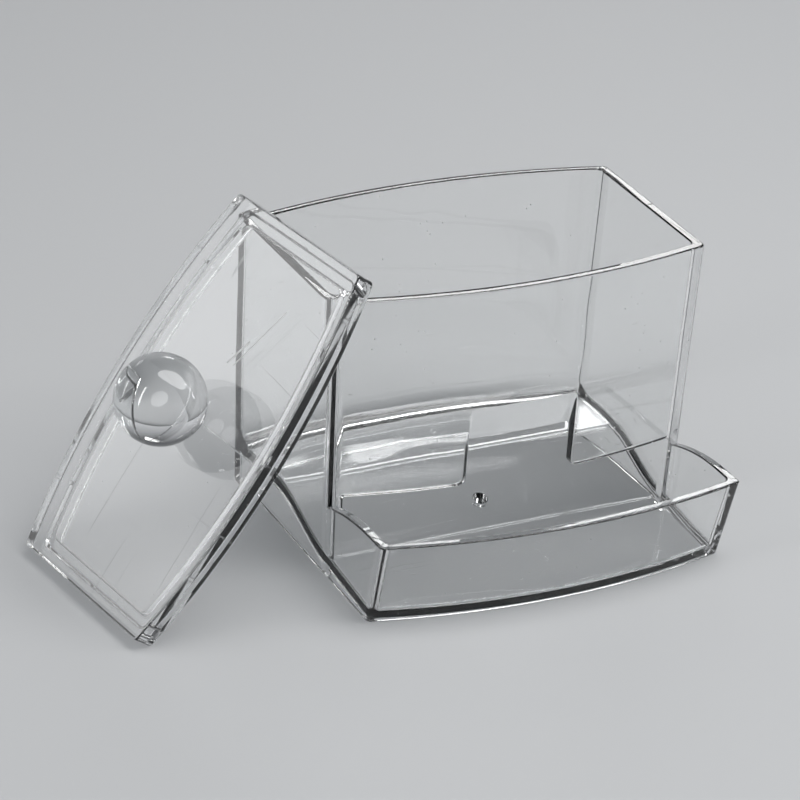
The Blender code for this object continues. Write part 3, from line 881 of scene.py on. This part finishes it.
def line_mark(tree, coordinates, start, end, width):
    """A single hairline between two points in millimetres, as a value that is 1 on the line."""
    start, end = Vector(start) * MM, Vector(end) * MM
    along = (end - start).normalized()
    away = add(tree, "ShaderNodeVectorMath", operation='SUBTRACT')
    tree.links.new(coordinates, away.inputs[0])
    away.inputs[1].default_value = start
    travel = add(tree, "ShaderNodeVectorMath", operation='DOT_PRODUCT')
    tree.links.new(away.outputs["Vector"], travel.inputs[0])
    travel.inputs[1].default_value = along
    held = maths(tree, 'MINIMUM', maths(tree, 'MAXIMUM', travel.outputs["Value"], 0.0), (end - start).length)
    nearest = add(tree, "ShaderNodeVectorMath", operation='SCALE')
    nearest.inputs[0].default_value = along
    tree.links.new(held, nearest.inputs["Scale"])
    gap = add(tree, "ShaderNodeVectorMath", operation='DISTANCE')
    tree.links.new(away.outputs["Vector"], gap.inputs[0])
    tree.links.new(nearest.outputs["Vector"], gap.inputs[1])
    return ramp(tree, gap.outputs["Value"], width * MM * LINE_CORE, width * MM, 1.0, 0.0)


for start, end, width, depth in LID_LINES:
    print("a line %.1f mm long, depth %.1f" % ((Vector(end) - Vector(start)).length, depth))

# %% [markdown]
# A shadow of clear plastic is pale, with thin dark lines along the rims. The renderer could follow the
# light through every bend, but such caustics come out as grain, so they are switched off. Instead, rays
# that ask whether a lamp is in sight meet a pale filter. Layer Weight darkens it where it is met at a
# slant, which draws the lines. Plenty of bounces are allowed, because a look through the lid and the
# box passes a dozen faces.

# %% Let light through to the table
THROUGH_FACE = (0.945, 0.95, 0.955, 1.0)
THROUGH_EDGE = (0.20, 0.22, 0.23, 1.0)
EDGE_SHARE = 0.2
BOUNCES = 24


def let_light_through(tree, shader):
    """Lamps see a pale filter in place of the lens, darker where they meet it at a slant."""
    link = tree.links.new
    facing = add(tree, "ShaderNodeLayerWeight", Blend=EDGE_SHARE)
    tint = add(tree, "ShaderNodeMix", data_type='RGBA')
    tint.inputs["A"].default_value = THROUGH_FACE
    tint.inputs["B"].default_value = THROUGH_EDGE
    link(facing.outputs["Facing"], tint.inputs["Factor"])
    filter_shader = add(tree, "ShaderNodeBsdfTransparent")
    link(tint.outputs["Result"], filter_shader.inputs["Color"])
    lamp = add(tree, "ShaderNodeLightPath")
    mix = add(tree, "ShaderNodeMixShader")
    link(lamp.outputs["Is Shadow Ray"], mix.inputs["Fac"])
    link(shader.outputs["BSDF"], mix.inputs[1])
    link(filter_shader.outputs["BSDF"], mix.inputs[2])
    link(mix.outputs["Shader"], tree.nodes["Material Output"].inputs["Surface"])


rays = bpy.context.scene.cycles
rays.caustics_refractive = False
rays.caustics_reflective = False
rays.max_bounces = BOUNCES
rays.transmission_bounces = BOUNCES
rays.transparent_max_bounces = BOUNCES
print("up to", rays.max_bounces, "bounces, no caustics")

# %% [markdown]
# The scratches, the dust and the lid's own lines are gathered into three values. One says where there
# is a groove, for the bump. One says where the plastic is whitened: dust and deep scratches scatter
# light, so less of it passes through. The last says where the surface is rough, which fine scratches
# make it only a little.

# %% Gather the marks
SCRATCH_SHARE = 0.35
CROSS_RARER = 0.01
# turn, stretch and scale of the hairlines that run along the piece, and of those across it
LONG_WAY = ((0.3, 0.2, 0.9), (1.0, 60.0, 60.0), 14.0)
CROSS_WAY = ((0.1, 0.4, -0.6), (60.0, 1.0, 60.0), 11.0)


def handling_marks(tree, coordinates, scratch_keep, dust_share, lines):
    """(grooves, whitened places, rough places), each from 0 to 1."""
    along = hairlines(tree, coordinates, *LONG_WAY, scratch_keep)
    across = hairlines(tree, coordinates, *CROSS_WAY, scratch_keep + CROSS_RARER)
    scratches = maths(tree, 'MAXIMUM', along, across)
    whitened = dust(tree, coordinates, dust_share)
    for start, end, width, depth in lines:
        line = maths(tree, 'MULTIPLY', line_mark(tree, coordinates, start, end, width), depth)
        scratches = maths(tree, 'MAXIMUM', scratches, line)
        whitened = maths(tree, 'MAXIMUM', whitened, line)
    rough = maths(tree, 'MAXIMUM', maths(tree, 'MULTIPLY', scratches, SCRATCH_SHARE), whitened)
    return scratches, whitened, rough


print("fine scratches count for %.0f%% of a deep one" % (100 * SCRATCH_SHARE))

# %% [markdown]
# Two things are far too fine to model and are left to bump: the slow waves from the way the melt flowed,
# which make straight lines wobble when seen through a wall, and the grooves of the scratches on top.

# %% Flow waves and grooves
WAVE_SCALE = 38.0
WAVE_DEPTH = 0.4 * MM
GROOVE_STRENGTH = 0.5
GROOVE_DEPTH = 0.04 * MM


def waves_and_grooves(tree, coordinates, wave, scratches):
    flow = add(tree, "ShaderNodeTexNoise", Scale=WAVE_SCALE, Detail=1.0)
    tree.links.new(coordinates, flow.inputs["Vector"])
    waves = add(tree, "ShaderNodeBump", Strength=wave, Distance=WAVE_DEPTH)
    tree.links.new(flow.outputs["Fac"], waves.inputs["Height"])
    grooves = add(tree, "ShaderNodeBump", Strength=GROOVE_STRENGTH, Distance=GROOVE_DEPTH)
    grooves.invert = True
    tree.links.new(scratches, grooves.inputs["Height"])
    tree.links.new(waves.outputs["Normal"], grooves.inputs["Normal"])
    return grooves.outputs["Normal"]


print("flow waves about %.0f mm apart" % (1 / WAVE_SCALE / MM))

# %% [markdown]
# Now the plastic itself. It comes out of a polished mould almost perfectly smooth, goes slightly dull
# in patches where hands hold it, and is roughest in its marks. Its refraction is set on the shader, as
# a plain number for polystyrene: higher than window glass, which is why its edges are so bright.

# %% Clear plastic
PLASTIC_IOR = 1.59
PLASTIC_COLOUR = (0.985, 0.99, 0.99, 1.0)
POLISHED = 0.012
HANDLED = 0.05
MARKED = 0.5
HAND_SCALE = 45.0
HAND_PATCH = (0.45, 0.75)
CLEAR_IN_DUST = 0.35


def clear_plastic(name, scratch_keep, dust_share, wave, lines):
    material = bpy.data.materials.new(name)
    material.use_nodes = True
    tree = material.node_tree
    link = tree.links.new
    shader = tree.nodes["Principled BSDF"]
    shader.inputs["IOR"].default_value = PLASTIC_IOR
    shader.inputs["Base Color"].default_value = PLASTIC_COLOUR
    coordinates = add(tree, "ShaderNodeAttribute", attribute_name="own_place").outputs["Vector"]
    scratches, whitened, rough = handling_marks(tree, coordinates, scratch_keep, dust_share, lines)
    hands = add(tree, "ShaderNodeTexNoise", Scale=HAND_SCALE, Detail=4.0)
    link(coordinates, hands.inputs["Vector"])
    dullness = ramp(tree, hands.outputs["Fac"], *HAND_PATCH, POLISHED, HANDLED)
    link(maths(tree, 'ADD', dullness, maths(tree, 'MULTIPLY', rough, MARKED)), shader.inputs["Roughness"])
    link(ramp(tree, whitened, 0.0, 1.0, 1.0, CLEAR_IN_DUST), shader.inputs["Transmission Weight"])
    link(waves_and_grooves(tree, coordinates, wave, scratches), shader.inputs["Normal"])
    let_light_through(tree, shader)
    return material


print("roughness from %.3f where polished to %.2f where handled" % (POLISHED, HANDLED))

# %% [markdown]
# The box and the lid are handled and dusty alike, but the box's tall thin walls are wavier than the
# thick plate. The ball is a separate, thicker moulding and cleaner, because it is small and round.

# %% Put the plastic on the pieces
# how rare the hairlines are, the share of dusty cells, how wavy it is, and its own lines
for piece, name, scratch_keep, dust_share, wave, lines in (
        (box_shell, "clear_box_moulding", 0.74, 0.22, 0.35, ()),
        (lid_shell, "clear_lid_plate", 0.74, 0.22, 0.15, LID_LINES),
        (knob_shell, "clear_knob_ball", 0.76, 0.06, 0.05, ())):
    piece.data.materials.clear()
    piece.data.materials.append(clear_plastic(name, scratch_keep, dust_share, wave, lines))
    print(name, "on", piece.name)

# %% [markdown]
# The table is pale and matte, and reaches past the picture on every side. Its top lies a tenth of a
# millimetre under the holder, because two faces in the same plane fight: where the foot of the box and
# the table share one, the renderer can't tell plastic from table, and black lines appear.

# %% Table
TABLE_REACH = 6.0
TABLE_BASE = -10 * MM
AIR_UNDER_FOOT = 0.1 * MM
TABLE_COLOUR = (0.56, 0.57, 0.58, 1.0)
TABLE_ROUGHNESS = 0.55
TABLE_CORNERS = ((-1, -1), (1, -1), (1, 1), (-1, 1))

table = loft("table", [[Vector((x * TABLE_REACH, y * TABLE_REACH, z)) for x, y in TABLE_CORNERS]
                       for z in (TABLE_BASE, -AIR_UNDER_FOOT)])
table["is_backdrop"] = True
matte = bpy.data.materials.new("pale_table")
matte.use_nodes = True
matte.node_tree.nodes["Principled BSDF"].inputs["Base Color"].default_value = TABLE_COLOUR
matte.node_tree.nodes["Principled BSDF"].inputs["Roughness"].default_value = TABLE_ROUGHNESS
table.data.materials.append(matte)
print("table %.0f m across" % (2 * TABLE_REACH))

# %% [markdown]
# Clear plastic has no colour of its own and only shows what it bends and mirrors. In an evenly bright
# room it almost vanishes. So the room is pale near the table and fades to dark overhead: the edges of
# the plastic find something dark to bend, and they draw themselves.

# %% Room
ROOM_LOW = (0.60, 0.61, 0.63, 1.0)
ROOM_HIGH = (0.06, 0.063, 0.067, 1.0)
ROOM_DARK_FROM = 0.6

world = bpy.data.worlds.new("room")
bpy.context.scene.world = world
world.use_nodes = True
room = world.node_tree
direction = add(room, "ShaderNodeTexCoord").outputs["Generated"]
split = add(room, "ShaderNodeSeparateXYZ")
room.links.new(direction, split.inputs["Vector"])
fade = add(room, "ShaderNodeValToRGB")
fade.color_ramp.elements[0].position = 0.0
fade.color_ramp.elements[0].color = ROOM_LOW
fade.color_ramp.elements[1].position = ROOM_DARK_FROM
fade.color_ramp.elements[1].color = ROOM_HIGH
room.links.new(split.outputs["Z"], fade.inputs["Fac"])
room.links.new(fade.outputs["Color"], room.nodes["Background"].inputs["Color"])
room.nodes["Background"].inputs["Strength"].default_value = 1.0
print("room fades from %.2f at the table to %.2f overhead" % (ROOM_LOW[0], ROOM_HIGH[0]))

# %% [markdown]
# The main light is one broad soft lamp above. It is an ellipse, because the ball mirrors the lamp's
# outline, and sharp corners in it would look odd. Two narrow lamps stand at the sides for the upright
# edges, and a weak one lies where the leaning lid mirrors it, so that the plate gets a soft sheen.
# Brightness is given as what the camera would see when looking at the lamp, and the energy follows
# from the lamp's area, so a lamp can be made larger without changing how bright it looks.

# %% Lamps
LAMP_AIM = Vector((-0.03, -0.03, 0.03))


def panel(name, place, width, height, brightness, shift=(0.0, 0.0), tilt=0.0, shape='RECTANGLE'):
    """A soft flat lamp; shift slides it in its own plane, and tilt turns it there."""
    lamp = bpy.data.lights.new(name, 'AREA')
    lamp.shape = shape
    lamp.size, lamp.size_y = width, height
    area = width * height * (math.pi / 4 if shape == 'ELLIPSE' else 1.0)
    lamp.energy = brightness * math.pi * area
    item = bpy.data.objects.new(name, lamp)
    bpy.context.scene.collection.objects.link(item)
    facing = (LAMP_AIM - Vector(place)).to_track_quat('-Z', 'Y').to_matrix().to_4x4()
    in_plane = Matrix.Rotation(tilt, 4, 'Z') @ Matrix.Translation((shift[0], shift[1], 0.0))
    item.matrix_world = Matrix.Translation(place) @ facing @ in_plane
    print("%s: %.1f W" % (name, lamp.energy))


panel("overhead_panel", (0.35, -0.30, 1.05), 0.70, 1.45, 4.7, shape='ELLIPSE')
panel("left_panel", (-0.95, -0.25, 0.45), 0.08, 0.8, 12.0)
panel("right_panel", (0.90, -0.45, 0.45), 0.06, 0.7, 12.0)
panel("lid_panel", (-0.93, 0.74, 0.50), 0.28, 0.36, 1.3, shift=(-0.01, -0.095), shape='ELLIPSE')

# %% [markdown]
# The flat tops of the rims mirror what stands low behind the box, and so does the floor inside it. Two
# bars of light with a dark gap between them sit where the rims look and the floor doesn't: the rims are
# drawn as white lines, and the floor stays clear. A short bar closes the gap on the right for the rim
# of the right end, which runs across it.

# %% Bars of light for the rims
BARS_PLACE = (0.47, 0.89, 0.57)
BARS_TILT = math.radians(13.2)
BARS_BRIGHTNESS = 6.0
panel("far_rim_bar", BARS_PLACE, 0.34, 0.024, BARS_BRIGHTNESS, shift=(-0.03, -0.047), tilt=BARS_TILT)
panel("near_rim_bar", BARS_PLACE, 0.34, 0.078, BARS_BRIGHTNESS, shift=(-0.03, 0.041), tilt=BARS_TILT)
panel("end_rim_bar", BARS_PLACE, 0.08, 0.035, BARS_BRIGHTNESS, shift=(-0.155, -0.018), tilt=BARS_TILT)

# %% [markdown]
# The camera stands about where the photo was taken from. Its angles, its distance and its long lens
# were fitted to corner points of the box and the tray, and the lid's lean was fitted after that, with
# the camera held. The match isn't exact: the corners in the render lie 1.5 to 7 pixels from those in
# the photo, partly because the box is built symmetrical, which the fit didn't quite agree with.

# %% Camera
VIEW_TURN = math.radians(-28.0)
VIEW_PITCH = math.radians(27.3)
VIEW_ROLL = math.radians(4.0)
VIEW_DISTANCE = 855.6 * MM
VIEW_ACROSS = -12.907 * MM
VIEW_UP = 22.325 * MM
FOCAL_PIXELS = 3656.8
IMAGE_PIXELS = 800
SENSOR_WIDTH = 36.0
NEAREST_SEEN = 10 * MM

back = Vector((math.sin(VIEW_TURN) * math.cos(VIEW_PITCH), -math.cos(VIEW_TURN) * math.cos(VIEW_PITCH),
               math.sin(VIEW_PITCH)))
right = Vector((math.cos(VIEW_TURN), math.sin(VIEW_TURN), 0.0))
up = back.cross(right)
tilted_right = right * math.cos(VIEW_ROLL) + up * math.sin(VIEW_ROLL)
tilted_up = up * math.cos(VIEW_ROLL) - right * math.sin(VIEW_ROLL)
place = back * VIEW_DISTANCE + tilted_right * VIEW_ACROSS + tilted_up * VIEW_UP

lens = bpy.data.cameras.new("photo_view")
lens.sensor_fit = 'HORIZONTAL'
lens.sensor_width = SENSOR_WIDTH
lens.lens = FOCAL_PIXELS / IMAGE_PIXELS * SENSOR_WIDTH
lens.clip_start = NEAREST_SEEN
camera = bpy.data.objects.new("photo_view", lens)
bpy.context.scene.collection.objects.link(camera)
camera.matrix_world = ROW_SHIFT @ Matrix.Translation(place) @ Matrix(
    (tilted_right, tilted_up, back)).transposed().to_4x4()
bpy.context.scene.camera = camera
bpy.context.scene.view_settings.view_transform = 'Standard'
print("lens %.1f mm" % lens.lens)

# %% [markdown]
# Last, the sizes. The detailed pieces have to fill the same space as the plain ones that they replace,
# so the box around everything is printed for both, one under the other.

# %% Print the sizes and finish
visual_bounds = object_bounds()
for title, corners in (("plain", cad_bounds), ("detailed", visual_bounds)):
    print(title, "sizes in mm:", [round((corners[1][k] - corners[0][k]) / MM, 1) for k in range(3)])
